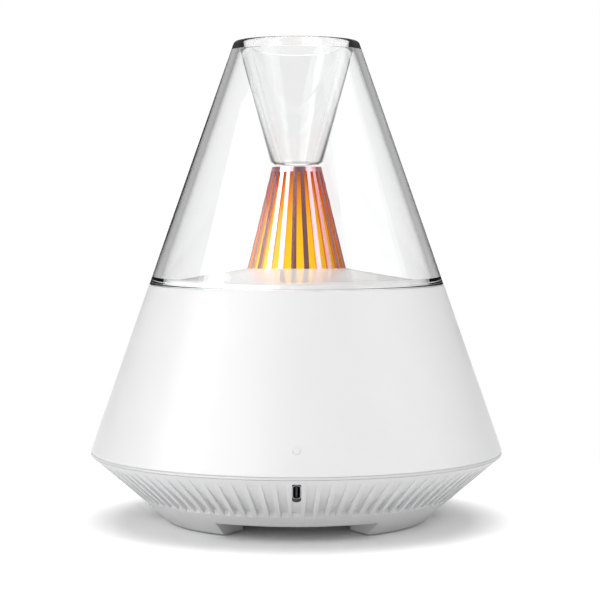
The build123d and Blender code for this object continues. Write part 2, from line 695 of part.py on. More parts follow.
FAN_HEAD_RADIUS = 2.1
FAN_HEAD_HEIGHT = 1.8

with BuildPart() as fan_frame:
    with BuildSketch(Plane.XY.offset(FAN_Z)):
        RectangleRounded(FAN_SIZE, FAN_SIZE, FAN_CORNER)
        Circle(FAN_BORE_RADIUS, mode=Mode.SUBTRACT)
        with GridLocations(FAN_HOLE_SPACING, FAN_HOLE_SPACING, 2, 2):
            Circle(FAN_HOLE_RADIUS, mode=Mode.SUBTRACT)
    extrude(amount=FAN_DEPTH)
    with BuildSketch(Plane.XY.offset(FAN_Z)):
        Circle(HUB_RADIUS)
        with PolarLocations((HUB_RADIUS + FAN_BORE_RADIUS) / 2, 3, start_angle=30):
            Rectangle(SPOKE_LENGTH, SPOKE_WIDTH)
    extrude(amount=HUB_PLATE)
    with BuildSketch(Plane.XY.offset(FAN_Z + HUB_PLATE)):
        Circle(BEARING_RADIUS)
        Circle(BUSH_RADIUS, mode=Mode.SUBTRACT)
    extrude(amount=BEARING_HEIGHT)
finish(fan_frame, "fan_frame")

with BuildPart() as fan_bush:
    with BuildSketch(Plane.XY.offset(FAN_Z + HUB_PLATE + BUSH_RECESS)):
        Circle(BUSH_RADIUS)
        Circle(SHAFT_RADIUS + SHAFT_CLEARANCE, mode=Mode.SUBTRACT)
    extrude(amount=BUSH_HEIGHT)
finish(fan_bush, "fan_bush")

with BuildPart() as fan_coil:
    with BuildSketch(Plane.XY.offset(FAN_Z + HUB_PLATE + BUSH_RECESS)):
        with PolarLocations(COIL_CIRCLE, 4):
            RectangleRounded(COIL_WIDTH, COIL_LENGTH, COIL_CORNER)
        Circle(BEARING_RADIUS + COIL_CORE_WALL)
        Circle(BEARING_RADIUS, mode=Mode.SUBTRACT)
    extrude(amount=COIL_HEIGHT)
finish(fan_coil, "fan_coil")

with BuildPart() as fan_rotor:
    for index in range(BLADE_COUNT):
        root = Plane(origin=(0, 0, ROTOR_Z + ROTOR_HEIGHT / 2), z_dir=(1, 0, 0))
        tilted = root.rotated((0, 0, BLADE_PITCH))
        turned = Plane(
            origin=tilted.origin,
            x_dir=tilted.x_dir.rotate(Axis.Z, index * 360 / BLADE_COUNT),
            z_dir=tilted.z_dir.rotate(Axis.Z, index * 360 / BLADE_COUNT),
        )
        with BuildSketch(turned.offset(HUB_RADIUS - BLADE_ROOT)):
            RectangleRounded(BLADE_CHORD, BLADE_THICKNESS, BLADE_CORNER)
        extrude(amount=FAN_BORE_RADIUS - HUB_RADIUS)
    with BuildSketch(Plane.XY.offset(ROTOR_Z)):
        Circle(FAN_BORE_RADIUS - ROTOR_PLAY)
    extrude(amount=ROTOR_HEIGHT, mode=Mode.INTERSECT)
    with BuildSketch(Plane.XY.offset(ROTOR_Z)):
        Circle(HUB_RADIUS)
        Circle(HUB_RADIUS - ROTOR_WALL, mode=Mode.SUBTRACT)
    extrude(amount=ROTOR_HEIGHT)
    with BuildSketch(Plane.XY.offset(ROTOR_Z + ROTOR_HEIGHT - ROTOR_WALL)):
        Circle(HUB_RADIUS - ROTOR_WALL / 2)
        Circle(SHAFT_RADIUS, mode=Mode.SUBTRACT)
    extrude(amount=ROTOR_WALL)
finish(fan_rotor, "fan_rotor")

with BuildPart() as fan_shaft:
    with BuildSketch(Plane.XY.offset(FAN_Z + HUB_PLATE + SHAFT_GAP)):
        Circle(SHAFT_RADIUS)
    extrude(amount=ROTOR_Z + ROTOR_HEIGHT - FAN_Z - HUB_PLATE - SHAFT_GAP)
finish(fan_shaft, "fan_shaft")

with BuildPart() as fan_screws:
    with BuildSketch(Plane.XY.offset(FAN_Z - FAN_SCREW_GRIP)):
        with GridLocations(FAN_HOLE_SPACING, FAN_HOLE_SPACING, 2, 2):
            Circle(FAN_SCREW_RADIUS)
    extrude(amount=FAN_DEPTH + DUCT_PLATE + FAN_SCREW_GRIP)
    with BuildSketch(Plane.XY.offset(FAN_Z + FAN_DEPTH + DUCT_PLATE)):
        with GridLocations(FAN_HOLE_SPACING, FAN_HOLE_SPACING, 2, 2):
            Circle(FAN_HEAD_RADIUS)
    extrude(amount=FAN_HEAD_HEIGHT)
finish(fan_screws, "fan_screws")

# ---------------------------------------------------------------------------
# Air duct: plate on the fan, leaning hood and a straight pipe to the tank
# ---------------------------------------------------------------------------
DUCT_WALL = 1.2
HOOD_TOP = 42.0
duct_z = FAN_Z + FAN_DEPTH
hood_z = duct_z + DUCT_PLATE

with BuildPart() as air_duct:
    with BuildSketch(Plane.XY.offset(hood_z)):
        Circle(FAN_BORE_RADIUS)
    with BuildSketch(Plane((0, PIPE_Y, HOOD_TOP))):
        Circle(PIPE_BORE + DUCT_WALL)
    loft()
    with BuildSketch(Plane.XY.offset(duct_z)):
        RectangleRounded(FAN_SIZE, FAN_SIZE, FAN_CORNER)
        with GridLocations(FAN_HOLE_SPACING, FAN_HOLE_SPACING, 2, 2):
            Circle(FAN_HOLE_RADIUS, mode=Mode.SUBTRACT)
    extrude(amount=DUCT_PLATE)
    with BuildSketch(Plane((0, PIPE_Y, HOOD_TOP))):
        Circle(PIPE_BORE + DUCT_WALL)
    extrude(amount=TANK_BOTTOM - HOOD_TOP)
    with BuildSketch(Plane.XY.offset(hood_z)):
        Circle(FAN_BORE_RADIUS - DUCT_WALL)
    with BuildSketch(Plane((0, PIPE_Y, HOOD_TOP))):
        Circle(PIPE_BORE)
    loft(mode=Mode.SUBTRACT)
    with BuildSketch(Plane.XY.offset(duct_z)):
        Circle(FAN_BORE_RADIUS - DUCT_WALL)
    extrude(amount=DUCT_PLATE, mode=Mode.SUBTRACT)
    with BuildSketch(Plane((0, PIPE_Y, HOOD_TOP))):
        Circle(PIPE_BORE)
    extrude(amount=TANK_BOTTOM - HOOD_TOP, mode=Mode.SUBTRACT)
finish(air_duct, "air_duct")

# ---------------------------------------------------------------------------
# Main board with its parts and its screws
# ---------------------------------------------------------------------------
BOARD_WIDTH = 48.0
BOARD_LENGTH = 26.0
BOARD_CORNER = 2.0
BOARD_SCREW_LENGTH = 5.0
CHIP_SPOTS = ((-11, 3), (10, -5))
CHIP_SIZE = (8.0, 6.0)
CHIP_HEIGHT = 1.7
INDUCTOR_SPOT = (0, 6)
INDUCTOR_SIZE = 7.0
INDUCTOR_CORNER = 1.0
INDUCTOR_HEIGHT = 4.2
CAPACITOR_SPOTS = ((-2, -6), (11, 6))
CAPACITOR_RADIUS = 3.1
CAPACITOR_HEIGHT = 8.0
PLUG_SPOTS = ((-12.75, -8), (-5.25, -8))
PLUG_SIZE = (6.0, 4.2)
PLUG_HEIGHT = 5.6
board_top = BOARD_Z + BOARD_THICKNESS

with BuildPart() as main_board:
    with BuildSketch(Plane((0, BOARD_CENTRE_Y, BOARD_Z))):
        RectangleRounded(BOARD_WIDTH, BOARD_LENGTH, BOARD_CORNER)
        with GridLocations(BOARD_HOLES_X, BOARD_HOLES_Y, 2, 2):
            Circle(SMALL_HOLE_RADIUS, mode=Mode.SUBTRACT)
    extrude(amount=BOARD_THICKNESS)
finish(main_board, "main_board")

with BuildPart() as board_parts:
    with BuildSketch(Plane((0, BOARD_CENTRE_Y, board_top))):
        with Locations(*CHIP_SPOTS):
            Rectangle(*CHIP_SIZE)
    extrude(amount=CHIP_HEIGHT)
    with BuildSketch(Plane((0, BOARD_CENTRE_Y, board_top))):
        with Locations(INDUCTOR_SPOT):
            RectangleRounded(INDUCTOR_SIZE, INDUCTOR_SIZE, INDUCTOR_CORNER)
    extrude(amount=INDUCTOR_HEIGHT)
    with BuildSketch(Plane((0, BOARD_CENTRE_Y, board_top))):
        with Locations(*CAPACITOR_SPOTS):
            Circle(CAPACITOR_RADIUS)
    extrude(amount=CAPACITOR_HEIGHT)
    with BuildSketch(Plane((0, BOARD_CENTRE_Y, board_top))):
        with Locations(*PLUG_SPOTS):
            Rectangle(*PLUG_SIZE)
    extrude(amount=PLUG_HEIGHT)
finish(board_parts, "board_parts")

with BuildPart() as board_screws:
    with BuildSketch(Plane((0, BOARD_CENTRE_Y, board_top))):
        with GridLocations(BOARD_HOLES_X, BOARD_HOLES_Y, 2, 2):
            Circle(SMALL_HEAD_RADIUS)
    extrude(amount=SMALL_HEAD_HEIGHT)
    with BuildSketch(Plane((0, BOARD_CENTRE_Y, board_top))):
        with GridLocations(BOARD_HOLES_X, BOARD_HOLES_Y, 2, 2):
            Circle(SMALL_SCREW_RADIUS)
    extrude(amount=-BOARD_SCREW_LENGTH)
finish(board_screws, "board_screws")

# ---------------------------------------------------------------------------
# Charging port in the front groove: shell, tongue, its board and a dark bezel
# in two halves, one at each end of the slot
# ---------------------------------------------------------------------------
PORT_BOARD_THICKNESS = 1.0
PORT_BOARD_LENGTH = 11.0    # along the slope
PORT_BOARD_HEIGHT = 9.0     # square to the wall
PORT_BOARD_CENTRE = (-1.5, -8.5)
PORT_BOARD_TAB = 4.0        # square tab that carries the indicator's LED
PORT_TAB_CENTRE = (6.0, -12.5)
PORT_SCREW_LENGTH = 3.2
PORT_HEAD_RADIUS = 1.4
PORT_HEAD_HEIGHT = 1.0
BEZEL_THICKNESS = 2.5
BEZEL_GAP = 7.0             # space between the two halves of the bezel
BEZEL_PLAY = 0.1
TONGUE_THICKNESS = 0.7
TONGUE_WIDTH = 6.7
TONGUE_SETBACK = 0.4
TONGUE_CORNER = 0.3
INSULATOR_THICKNESS = 1.2
port_board_x = SOCKET_WIDTH / 2

with BuildPart() as port_shell:
    with BuildSketch(port_wall.offset(-SOCKET_RECESS)):
        SlotOverall(SOCKET_LENGTH, SOCKET_WIDTH, rotation=90)
        SlotOverall(SOCKET_LENGTH - 2 * SOCKET_WALL, SOCKET_WIDTH - 2 * SOCKET_WALL, rotation=90,
                    mode=Mode.SUBTRACT)
    extrude(amount=-SOCKET_DEPTH)
finish(port_shell, "port_shell")

with BuildPart() as port_tongue:
    with BuildSketch(port_wall.offset(-SOCKET_RECESS - SOCKET_DEPTH)):
        SlotOverall(SOCKET_LENGTH - 2 * SOCKET_WALL, SOCKET_WIDTH - 2 * SOCKET_WALL, rotation=90)
    extrude(amount=INSULATOR_THICKNESS)
    with BuildSketch(port_wall.offset(-SOCKET_RECESS - SOCKET_DEPTH)):
        RectangleRounded(TONGUE_THICKNESS, TONGUE_WIDTH, TONGUE_CORNER)
    extrude(amount=SOCKET_DEPTH - TONGUE_SETBACK)
finish(port_tongue, "port_tongue")

with BuildPart() as port_bezel:
    with BuildSketch(port_wall.offset(-BEZEL_DEPTH)):
        with Locations((0, PORT_SLOT_SHIFT)):
            SlotOverall(PORT_SLOT_LENGTH - BEZEL_PLAY, PORT_SLOT_WIDTH - BEZEL_PLAY, rotation=90)
        SlotOverall(SOCKET_LENGTH + BEZEL_PLAY, SOCKET_WIDTH + BEZEL_PLAY, rotation=90,
                    mode=Mode.SUBTRACT)
        Rectangle(PORT_SLOT_WIDTH, BEZEL_GAP, mode=Mode.SUBTRACT)
    extrude(amount=-BEZEL_THICKNESS)
finish(port_bezel, "port_bezel")

with BuildPart() as port_board:
    with BuildSketch(port_edge.offset(port_board_x)):
        with Locations(PORT_BOARD_CENTRE):
            Rectangle(PORT_BOARD_LENGTH, PORT_BOARD_HEIGHT)
        with Locations(PORT_TAB_CENTRE):
            Rectangle(PORT_BOARD_TAB, PORT_BOARD_TAB)
        with Locations(*PORT_SCREW_SPOTS):
            Circle(SMALL_HOLE_RADIUS, mode=Mode.SUBTRACT)
    extrude(amount=PORT_BOARD_THICKNESS)
finish(port_board, "port_board")

with BuildPart() as port_board_screws:
    with BuildSketch(port_edge.offset(port_board_x)):
        with Locations(*PORT_SCREW_SPOTS):
            Circle(SMALL_SCREW_RADIUS)
    extrude(amount=PORT_SCREW_LENGTH)
    with BuildSketch(port_edge.offset(port_board_x)):
        with Locations(*PORT_SCREW_SPOTS):
            Circle(PORT_HEAD_RADIUS)
    extrude(amount=-PORT_HEAD_HEIGHT)
finish(port_board_screws, "port_board_screws")

# ---------------------------------------------------------------------------
# Indicator: clear window in the shell and the LED behind it
# ---------------------------------------------------------------------------
WINDOW_LENGTH = 6.0
WINDOW_STANDS_OUT = 0.1
LED_WIDTH = 2.8
LED_LENGTH = 2.4
LED_DEPTH = 1.6

with BuildPart() as indicator_window:
    with BuildSketch(indicator_wall.offset(WINDOW_STANDS_OUT)):
        Circle(INDICATOR_RADIUS)
    extrude(amount=-WINDOW_LENGTH)
finish(indicator_window, "indicator_window")

with BuildPart() as indicator_led:
    with BuildSketch(indicator_wall.offset(WINDOW_STANDS_OUT - WINDOW_LENGTH)):
        with Locations((port_board_x - LED_WIDTH / 2, 0)):
            Rectangle(LED_WIDTH, LED_LENGTH)
    extrude(amount=-LED_DEPTH)
finish(indicator_led, "indicator_led")

# ---------------------------------------------------------------------------
# Buttons at the back, their board, switches and screws
# ---------------------------------------------------------------------------
FLANGE_TOP_DEPTH = 2.6      # the flange stops against the inside of the shell
FLANGE_THICKNESS = 0.9
STEM_END = 5.0
SWITCH_TOP = 6.0            # clear of the stem by a fifth of a millimetre when pressed
BUTTON_BOARD_THICKNESS = 1.2
BUTTON_BOARD_WIDTH = 14.0
BUTTON_BOARD_LENGTH = 41.0
BUTTON_FLANGE = 1.2         # how far the flange stands out round the button
BUTTON_ROUND = 0.7
STEM_RADIUS = 1.5
SWITCH_SIZE = 6.0
SWITCH_CORNER = 0.5
PLUNGER_RADIUS = 1.7
PLUNGER_TRAVEL = 0.8
BUTTON_SCREW_LENGTH = 5.4

for label, plane in zip(("mist_button", "light_button"), button_planes):
    with BuildPart() as button:
        with BuildSketch(plane.offset(BUTTON_STANDS_OUT)):
            Circle(BUTTON_RADIUS)
        extrude(amount=-(BUTTON_STANDS_OUT + FLANGE_TOP_DEPTH + FLANGE_THICKNESS))
        with BuildSketch(plane.offset(-FLANGE_TOP_DEPTH)):
            Circle(BUTTON_RADIUS + BUTTON_FLANGE)
        extrude(amount=-FLANGE_THICKNESS)
        with BuildSketch(plane.offset(-FLANGE_TOP_DEPTH)):
            Circle(STEM_RADIUS)
        extrude(amount=FLANGE_TOP_DEPTH - STEM_END)
        outer_face = button.faces().sort_by(Axis(plane.origin, plane.z_dir))[-1]
        fillet(outer_face.edges(), radius=BUTTON_ROUND)
    finish(button, label)

button_pitch = (BUTTON_HEIGHTS[1] - BUTTON_HEIGHTS[0]) / cos(radians(UPPER_LEAN))

with BuildPart() as button_board:
    with BuildSketch(button_board_wall.offset(-BUTTON_BOARD_DEPTH)):
        RectangleRounded(BUTTON_BOARD_WIDTH, BUTTON_BOARD_LENGTH, BOARD_CORNER)
        with GridLocations(0, POST_SPACING, 1, 2):
            Circle(SMALL_HOLE_RADIUS, mode=Mode.SUBTRACT)
    extrude(amount=-BUTTON_BOARD_THICKNESS)
finish(button_board, "button_board")

with BuildPart() as button_switches:
    with BuildSketch(button_board_wall.offset(-BUTTON_BOARD_DEPTH)):
        with GridLocations(0, button_pitch, 1, 2):
            RectangleRounded(SWITCH_SIZE, SWITCH_SIZE, SWITCH_CORNER)
    extrude(amount=BUTTON_BOARD_DEPTH - SWITCH_TOP - PLUNGER_TRAVEL)
    with BuildSketch(button_board_wall.offset(-BUTTON_BOARD_DEPTH)):
        with GridLocations(0, button_pitch, 1, 2):
            Circle(PLUNGER_RADIUS)
    extrude(amount=BUTTON_BOARD_DEPTH - SWITCH_TOP)
finish(button_switches, "button_switches")

with BuildPart() as button_board_screws:
    with BuildSketch(button_board_wall.offset(-BUTTON_BOARD_DEPTH - BUTTON_BOARD_THICKNESS)):
        with GridLocations(0, POST_SPACING, 1, 2):
            Circle(SMALL_SCREW_RADIUS)
    extrude(amount=BUTTON_SCREW_LENGTH)
    with BuildSketch(button_board_wall.offset(-BUTTON_BOARD_DEPTH - BUTTON_BOARD_THICKNESS)):
        with GridLocations(0, POST_SPACING, 1, 2):
            Circle(SMALL_HEAD_RADIUS)
    extrude(amount=-SMALL_HEAD_HEIGHT)
finish(button_board_screws, "button_board_screws")

# ---------------------------------------------------------------------------
# Contacts that feed the lantern: pins in a block under the tank flange
# ---------------------------------------------------------------------------
PIN_BLOCK_SIZE = (13.0, 4.4)
PIN_BLOCK_HEIGHT = 8.0
PIN_RADIUS = 0.7
PIN_GAP = 0.05              # between the pins and the deck's pads
PIN_LENGTH = 13.0
PAD_RADIUS = 1.3
PAD_HEIGHT = 0.6

with BuildPart() as pin_block:
    with BuildSketch(Plane((0, CONTACT_Y, FLANGE_Z))):
        Rectangle(*PIN_BLOCK_SIZE)
        with GridLocations(CONTACT_SPACING, 0, 3, 1):
            Circle(PIN_RADIUS, mode=Mode.SUBTRACT)
    extrude(amount=-PIN_BLOCK_HEIGHT)
finish(pin_block, "pin_block")

with BuildPart() as contact_pins:
    with BuildSketch(Plane((0, CONTACT_Y, RIM_Z - PIN_GAP))):
        with GridLocations(CONTACT_SPACING, 0, 3, 1):
            Circle(PIN_RADIUS)
    extrude(amount=-PIN_LENGTH)
finish(contact_pins, "contact_pins")

# ---------------------------------------------------------------------------
# Deck: shallow white cone, which is the tank's lid, with a plug that holds
# the seal and a ring slot for the lantern shade
# ---------------------------------------------------------------------------
PLUG_BOTTOM = 86.0
PLUG_RADIUS = 44.3
SEAL_LOW = 87.0
SEAL_HIGH = 89.0
SEAL_INNER = 43.4
SEAL_OUTER = 45.1
DECK_THICKNESS = 2.2
CORE_BOTTOM = 94.0
CORE_RADIUS = 21.0
SHADE_SUNK = 1.0
FIT_GAP = 0.1               # round the chimney and each side of the shade's ring
PLUG_WALL = 2.3
SEAL_ROUND = 0.7
LAMP_PILOT_DEPTH = 3.6

with BuildPart() as deck:
    with BuildSketch(Plane.XZ):
        with BuildLine():
            Polyline(
                (CHIMNEY_RADIUS + FIT_GAP, DECK_TOP_Z),
                (LANTERN_RADIUS, DECK_TOP_Z),
                (DECK_RADIUS, deck_height(DECK_RADIUS)),
                (DECK_RADIUS, RIM_Z),
                (PLUG_RADIUS, RIM_Z),
                (PLUG_RADIUS, SEAL_HIGH),
                (SEAL_INNER, SEAL_HIGH),
                (SEAL_INNER, SEAL_LOW),
                (PLUG_RADIUS, SEAL_LOW),
                (PLUG_RADIUS, PLUG_BOTTOM),
                (PLUG_RADIUS - PLUG_WALL, PLUG_BOTTOM),
                (PLUG_RADIUS - PLUG_WALL, deck_height(PLUG_RADIUS) - DECK_THICKNESS),
                (CORE_RADIUS, deck_height(CORE_RADIUS) - DECK_THICKNESS),
                (CORE_RADIUS, CORE_BOTTOM),
                (CHIMNEY_RADIUS + FIT_GAP, CORE_BOTTOM),
                close=True,
            )
        make_face()
    revolve(axis=Axis.Z)
    with BuildSketch(Plane.XY.offset(DECK_TOP_Z - SHADE_SUNK)):
        Circle(LANTERN_RADIUS + FIT_GAP)
        Circle(LANTERN_RADIUS - SHADE_WALL - FIT_GAP, mode=Mode.SUBTRACT)
    extrude(amount=SHADE_SUNK, mode=Mode.SUBTRACT)
    with BuildSketch(Plane((0, CONTACT_Y, RIM_Z))):
        with GridLocations(CONTACT_SPACING, 0, 3, 1):
            Circle(PAD_RADIUS)
    extrude(amount=PAD_HEIGHT, mode=Mode.SUBTRACT)
    with BuildSketch(Plane.XY.offset(DECK_TOP_Z)):
        with PolarLocations(LED_CIRCLE, 3, start_angle=LAMP_SCREW_AZIMUTH):
            Circle(SMALL_PILOT_RADIUS)
    extrude(amount=-LAMP_PILOT_DEPTH, mode=Mode.SUBTRACT)
finish(deck, "deck")

with BuildPart() as deck_seal:
    with BuildSketch(Plane.XZ) as seal_section:
        with Locations(((SEAL_INNER + SEAL_OUTER) / 2, (SEAL_LOW + SEAL_HIGH) / 2)):
            Rectangle(SEAL_OUTER - SEAL_INNER, SEAL_HIGH - SEAL_LOW)
        fillet(seal_section.vertices().group_by(Axis.X)[-1], radius=SEAL_ROUND)
    revolve(axis=Axis.Z)
finish(deck_seal, "deck_seal")

with BuildPart() as contact_pads:
    with BuildSketch(Plane((0, CONTACT_Y, RIM_Z))):
        with GridLocations(CONTACT_SPACING, 0, 3, 1):
            Circle(PAD_RADIUS)
    extrude(amount=PAD_HEIGHT)
finish(contact_pads, "contact_pads")

# ---------------------------------------------------------------------------
# Mist chimney: tube from the tank's air space up to the cover's funnel
# ---------------------------------------------------------------------------
CHIMNEY_BOTTOM = 84.0
CHIMNEY_FLANGE = 9.2
LAMP_BOARD_THICKNESS = 1.2

with BuildPart() as mist_chimney:
    with BuildSketch(Plane.XZ):
        with BuildLine():
            Polyline(
                (CHIMNEY_BORE, CHIMNEY_BOTTOM),
                (CHIMNEY_RADIUS, CHIMNEY_BOTTOM),
                (CHIMNEY_RADIUS, DECK_TOP_Z),
                (CHIMNEY_FLANGE, DECK_TOP_Z),
                (CHIMNEY_FLANGE, DECK_TOP_Z + LAMP_BOARD_THICKNESS),
                (CHIMNEY_RADIUS, DECK_TOP_Z + LAMP_BOARD_THICKNESS),
                (CHIMNEY_RADIUS, LANTERN_TOP_Z),
                (CHIMNEY_BORE, LANTERN_TOP_Z),
                close=True,
            )
        make_face()
    revolve(axis=Axis.Z)
finish(mist_chimney, "mist_chimney")

# ---------------------------------------------------------------------------
# Lamp: ring board on the deck with its LEDs and screws
# ---------------------------------------------------------------------------
LAMP_BOARD_RADIUS = 15.6
LAMP_HOLE_RADIUS = 1.0
LAMP_HEAD_RADIUS = 1.4
LAMP_HEAD_HEIGHT = 1.0
LAMP_SCREW_LENGTH = 4.4
LAMP_LED_SIZE = 2.8
LAMP_LED_HEIGHT = 0.8
CHIMNEY_GAP = 0.2           # round the chimney inside the lamp, the amber cone and the collar
lamp_top = DECK_TOP_Z + LAMP_BOARD_THICKNESS

with BuildPart() as lamp_board:
    with BuildSketch(Plane.XY.offset(DECK_TOP_Z)):
        Circle(LAMP_BOARD_RADIUS)
        Circle(CHIMNEY_FLANGE + CHIMNEY_GAP, mode=Mode.SUBTRACT)
        with PolarLocations(LED_CIRCLE, 3, start_angle=LAMP_SCREW_AZIMUTH):
            Circle(LAMP_HOLE_RADIUS, mode=Mode.SUBTRACT)
    extrude(amount=LAMP_BOARD_THICKNESS)
finish(lamp_board, "lamp_board")

with BuildPart() as lamp_leds:
    with BuildSketch(Plane.XY.offset(lamp_top)):
        with PolarLocations(LED_CIRCLE, LED_COUNT):
            Rectangle(LAMP_LED_SIZE, LAMP_LED_SIZE)
    extrude(amount=LAMP_LED_HEIGHT)
finish(lamp_leds, "lamp_leds")

with BuildPart() as lamp_screws:
    with BuildSketch(Plane.XY.offset(lamp_top)):
        with PolarLocations(LED_CIRCLE, 3, start_angle=LAMP_SCREW_AZIMUTH):
            Circle(LAMP_HEAD_RADIUS)
    extrude(amount=LAMP_HEAD_HEIGHT)
    with BuildSketch(Plane.XY.offset(lamp_top)):
        with PolarLocations(LED_CIRCLE, 3, start_angle=LAMP_SCREW_AZIMUTH):
            Circle(SMALL_SCREW_RADIUS)
    extrude(amount=-LAMP_SCREW_LENGTH)
finish(lamp_screws, "lamp_screws")

# ---------------------------------------------------------------------------
# Amber cone round the lamp, closed in to the chimney at its top
# ---------------------------------------------------------------------------
AMBER_GAP = 0.25
AMBER_WALL = 1.2
AMBER_TOP_Z = 134.4
amber_outset = SHADE_WALL + AMBER_GAP

with BuildPart() as amber_cone:
    with BuildSketch(Plane.XZ):
        with BuildLine():
            Polyline(
                (lantern_radius(DECK_TOP_Z) - amber_outset, DECK_TOP_Z),
                (lantern_radius(AMBER_TOP_Z) - amber_outset, AMBER_TOP_Z),
                (CHIMNEY_RADIUS + CHIMNEY_GAP, AMBER_TOP_Z),
                (CHIMNEY_RADIUS + CHIMNEY_GAP, AMBER_TOP_Z - AMBER_WALL),
                (lantern_radius(AMBER_TOP_Z - AMBER_WALL) - amber_outset - AMBER_WALL,
                 AMBER_TOP_Z - AMBER_WALL),
                (lantern_radius(DECK_TOP_Z) - amber_outset - AMBER_WALL, DECK_TOP_Z),
                close=True,
            )
        make_face()
    revolve(axis=Axis.Z)
finish(amber_cone, "amber_cone")

# ---------------------------------------------------------------------------
# Lantern shade: metal cone cut into slats, joined by a collar at the top and
# by a ring that is sunk in the deck
# ---------------------------------------------------------------------------
COLLAR_PLATE = 1.0
slot_mid_z = (SLOT_TOP_Z + DECK_TOP_Z) / 2
shade_slope = (LANTERN_RADIUS - LANTERN_TOP_RADIUS) / (LANTERN_TOP_Z - DECK_TOP_Z)
slot_half = (SLOT_TOP_Z - DECK_TOP_Z) / 2 * sqrt(1 + shade_slope**2)
slot_wall = wall_plane(FRONT + SLOT_OFFSET, lantern_radius(slot_mid_z), slot_mid_z,
                       degrees(atan(shade_slope)))

with BuildPart() as slot_cutter:
    with BuildSketch(slot_wall.offset(CUT_PAST)):
        with BuildLine():
            Polyline(
                (-SLOT_TOP_WIDTH / 2, slot_half),
                (SLOT_TOP_WIDTH / 2, slot_half),
                (SLOT_BOTTOM_WIDTH / 2, -slot_half),
                (-SLOT_BOTTOM_WIDTH / 2, -slot_half),
                close=True,
            )
        make_face()
    extrude(amount=-(SHADE_WALL + 2 * CUT_PAST))
    with BuildSketch(Plane.XY.offset(DECK_TOP_Z)):
        Circle(LANTERN_RADIUS + 2 * CUT_PAST)
    extrude(amount=LANTERN_TOP_Z - DECK_TOP_Z, mode=Mode.INTERSECT)

with BuildPart() as lantern_shade:
    with BuildSketch(Plane.XZ):
        with BuildLine():
            Polyline(
                (LANTERN_RADIUS, DECK_TOP_Z - SHADE_SUNK),
                (LANTERN_RADIUS, DECK_TOP_Z),
                (LANTERN_TOP_RADIUS, LANTERN_TOP_Z),
                (CHIMNEY_RADIUS + CHIMNEY_GAP, LANTERN_TOP_Z),
                (CHIMNEY_RADIUS + CHIMNEY_GAP, LANTERN_TOP_Z - COLLAR_PLATE),
                (lantern_radius(LANTERN_TOP_Z - COLLAR_PLATE) - SHADE_WALL, LANTERN_TOP_Z - COLLAR_PLATE),
                (LANTERN_RADIUS - SHADE_WALL, DECK_TOP_Z),
                (LANTERN_RADIUS - SHADE_WALL, DECK_TOP_Z - SHADE_SUNK),
                close=True,
            )
        make_face()
    revolve(axis=Axis.Z)
    with PolarLocations(0, SLOT_COUNT):
        add(slot_cutter.part, mode=Mode.SUBTRACT)
finish(lantern_shade, "lantern_shade")

# ---------------------------------------------------------------------------
# Clear cover: hollow cone whose top turns in and runs down as a funnel to
# the chimney
# ---------------------------------------------------------------------------
COVER_BAND_TOP = 93.6
band_radius = upper_radius(COVER_BAND_TOP) - COVER_WALL_X
APEX_Z = 181.0              # top of the space between the wall and the funnel
APEX_WIDTH = 0.6
TOP_OUTER_ROUND = 2.0
TOP_INNER_ROUND = 1.0
FOOT_ROUND = 0.4
FUNNEL_ROUND = 1.0
apex_outer = upper_radius(APEX_Z) - COVER_WALL_X + APEX_WIDTH / 2

with BuildPart() as clear_cover:
    with BuildSketch(Plane.XZ) as cover_section:
        with BuildLine():
            Polyline(
                (upper_radius(RIM_Z), RIM_Z),
                (upper_radius(HEIGHT), HEIGHT),
                (MOUTH_RADIUS, HEIGHT),
                (CHIMNEY_BORE, FUNNEL_BOTTOM_Z),
                (FUNNEL_BOTTOM_RADIUS, FUNNEL_BOTTOM_Z),
                (apex_outer - APEX_WIDTH, APEX_Z),
                (apex_outer, APEX_Z),
                (band_radius, COVER_BAND_TOP),
                (band_radius, RIM_Z),
                close=True,
            )
        make_face()
        corners = cover_section.vertices()
        top_outer = corners.sort_by_distance((upper_radius(HEIGHT), HEIGHT))[0]
        top_inner = corners.sort_by_distance((MOUTH_RADIUS, HEIGHT))[0]
        bottom_outer = corners.sort_by_distance((upper_radius(RIM_Z), RIM_Z))[0]
        funnel_outer = corners.sort_by_distance((FUNNEL_BOTTOM_RADIUS, FUNNEL_BOTTOM_Z))[0]
        fillet(top_outer, radius=TOP_OUTER_ROUND)
        fillet(top_inner, radius=TOP_INNER_ROUND)
        fillet(bottom_outer, radius=FOOT_ROUND)
        fillet(funnel_outer, radius=FUNNEL_ROUND)
    revolve(axis=Axis.Z)
finish(clear_cover, "clear_cover")
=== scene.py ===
import json
import math

import bmesh
import bpy
from mathutils import Euler, Matrix, Vector


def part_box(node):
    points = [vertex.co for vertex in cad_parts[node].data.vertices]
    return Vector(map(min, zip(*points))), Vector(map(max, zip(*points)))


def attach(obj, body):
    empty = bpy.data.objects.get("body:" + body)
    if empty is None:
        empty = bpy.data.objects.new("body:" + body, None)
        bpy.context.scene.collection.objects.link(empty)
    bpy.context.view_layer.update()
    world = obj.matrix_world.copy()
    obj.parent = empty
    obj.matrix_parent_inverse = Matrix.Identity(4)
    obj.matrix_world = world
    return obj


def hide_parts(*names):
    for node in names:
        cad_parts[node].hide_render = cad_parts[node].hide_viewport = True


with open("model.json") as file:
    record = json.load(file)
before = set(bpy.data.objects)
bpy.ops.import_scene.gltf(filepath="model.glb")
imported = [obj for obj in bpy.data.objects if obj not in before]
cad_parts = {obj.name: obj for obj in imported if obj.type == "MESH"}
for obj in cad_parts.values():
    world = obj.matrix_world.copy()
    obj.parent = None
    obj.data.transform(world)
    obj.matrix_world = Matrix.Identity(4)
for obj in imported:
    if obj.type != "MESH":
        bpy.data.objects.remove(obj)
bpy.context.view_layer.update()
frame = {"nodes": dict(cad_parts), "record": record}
nodes = frame["nodes"]


